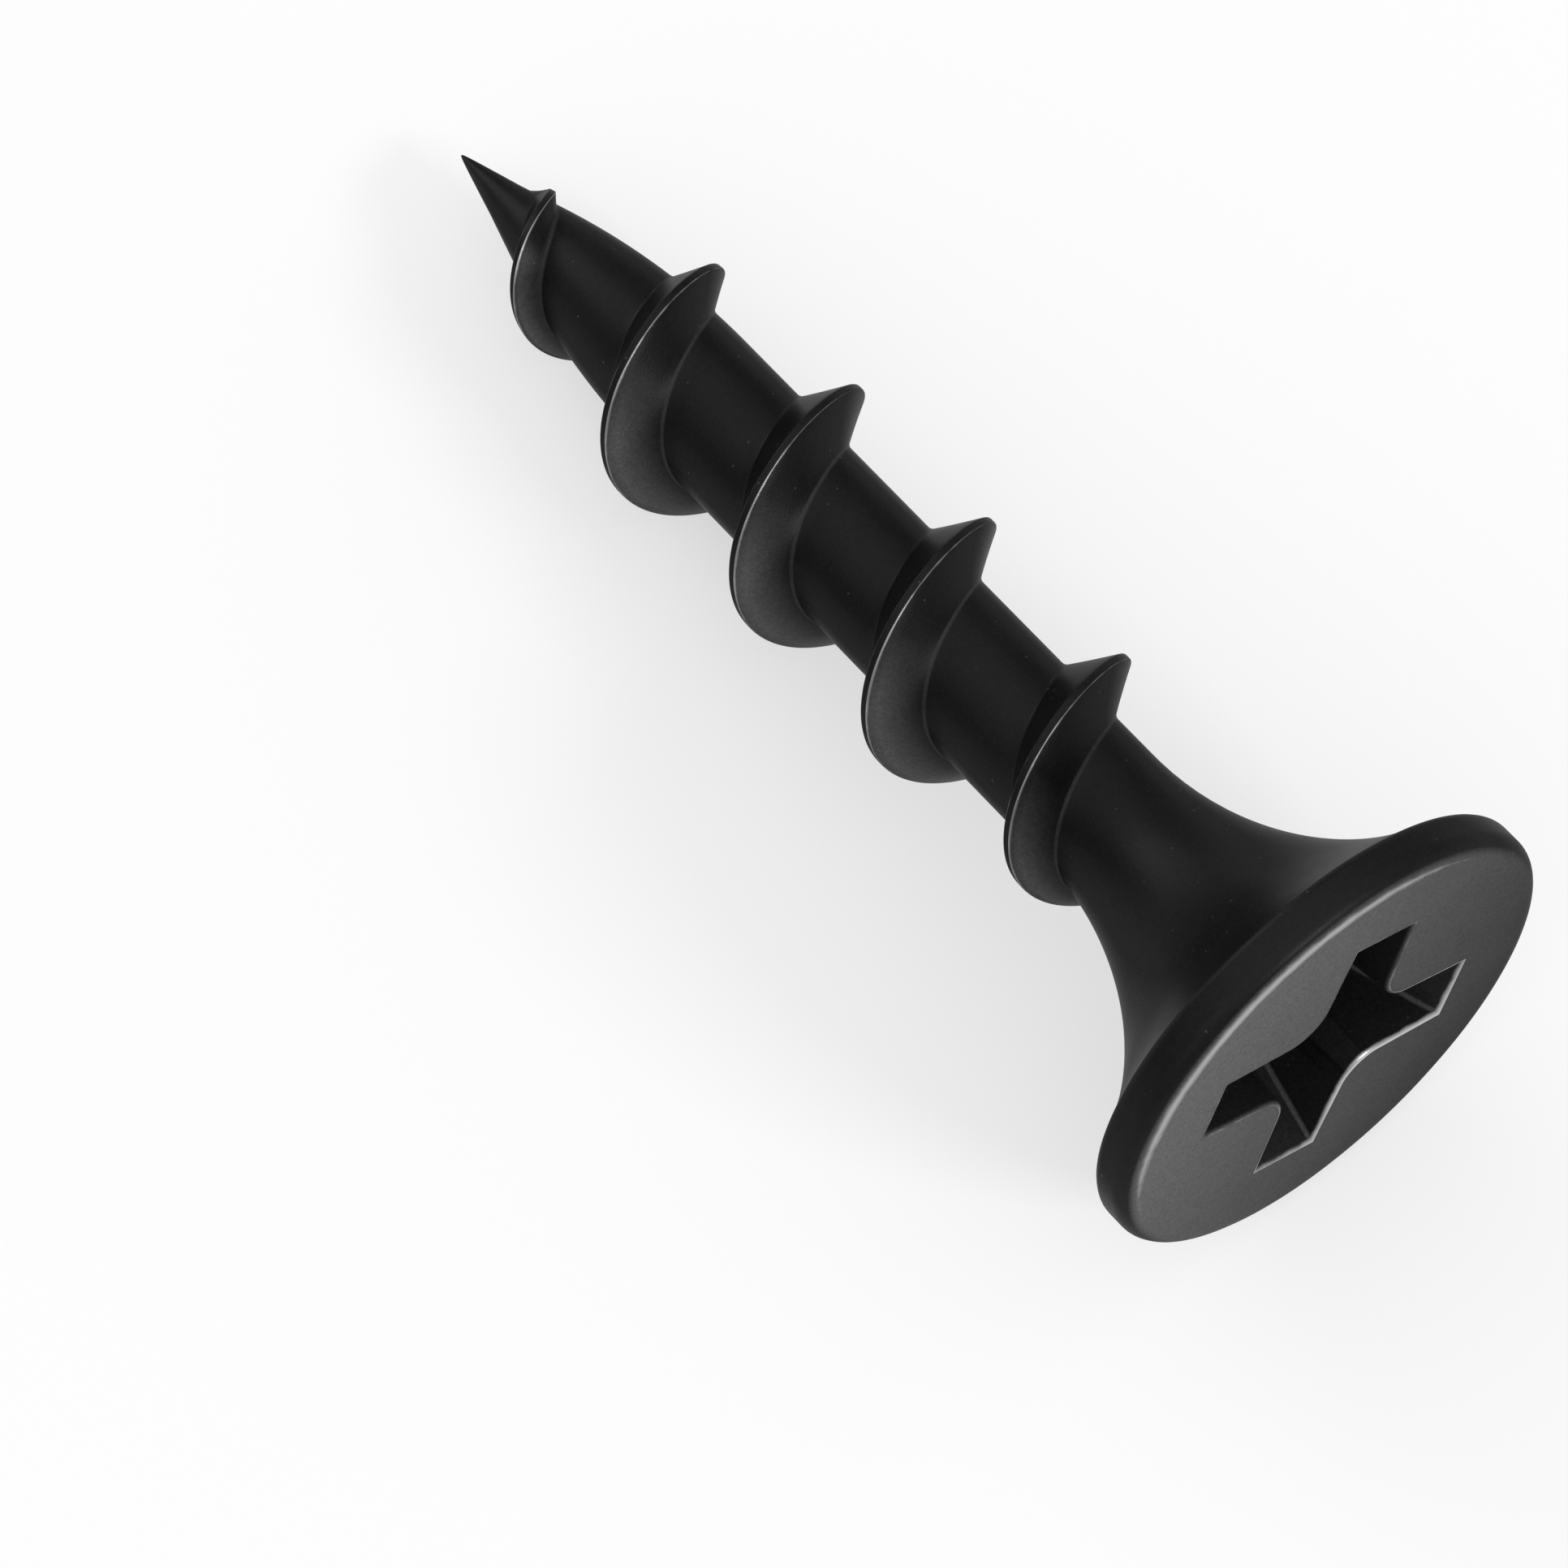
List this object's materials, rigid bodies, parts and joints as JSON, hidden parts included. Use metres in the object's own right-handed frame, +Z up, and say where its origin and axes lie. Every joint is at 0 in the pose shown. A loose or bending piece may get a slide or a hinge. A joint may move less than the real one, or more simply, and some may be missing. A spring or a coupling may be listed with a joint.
{
  "type": "drywall screw",
  "caption": "Drywall screw with a bugle head, a cross recess, a coarse thread and a sharp point, in black phosphated steel, lying on its side.",
  "frame": {"origin": "middle of the ground under the screw as it lies: half way along its length and width, on the plane that it rests on", "axes": "+Z up; +X from the head towards the point, along the ground; the screw's own axis lies in the XZ plane and falls by 9 degrees towards the point"},
  "size_m": [0.0216, 0.0082, 0.0081],
  "materials": {
    "steel": "black phosphate on steel, satin"
  },
  "bodies": {
    "root": {"screw": "steel"}
  },
  "joints": []
}
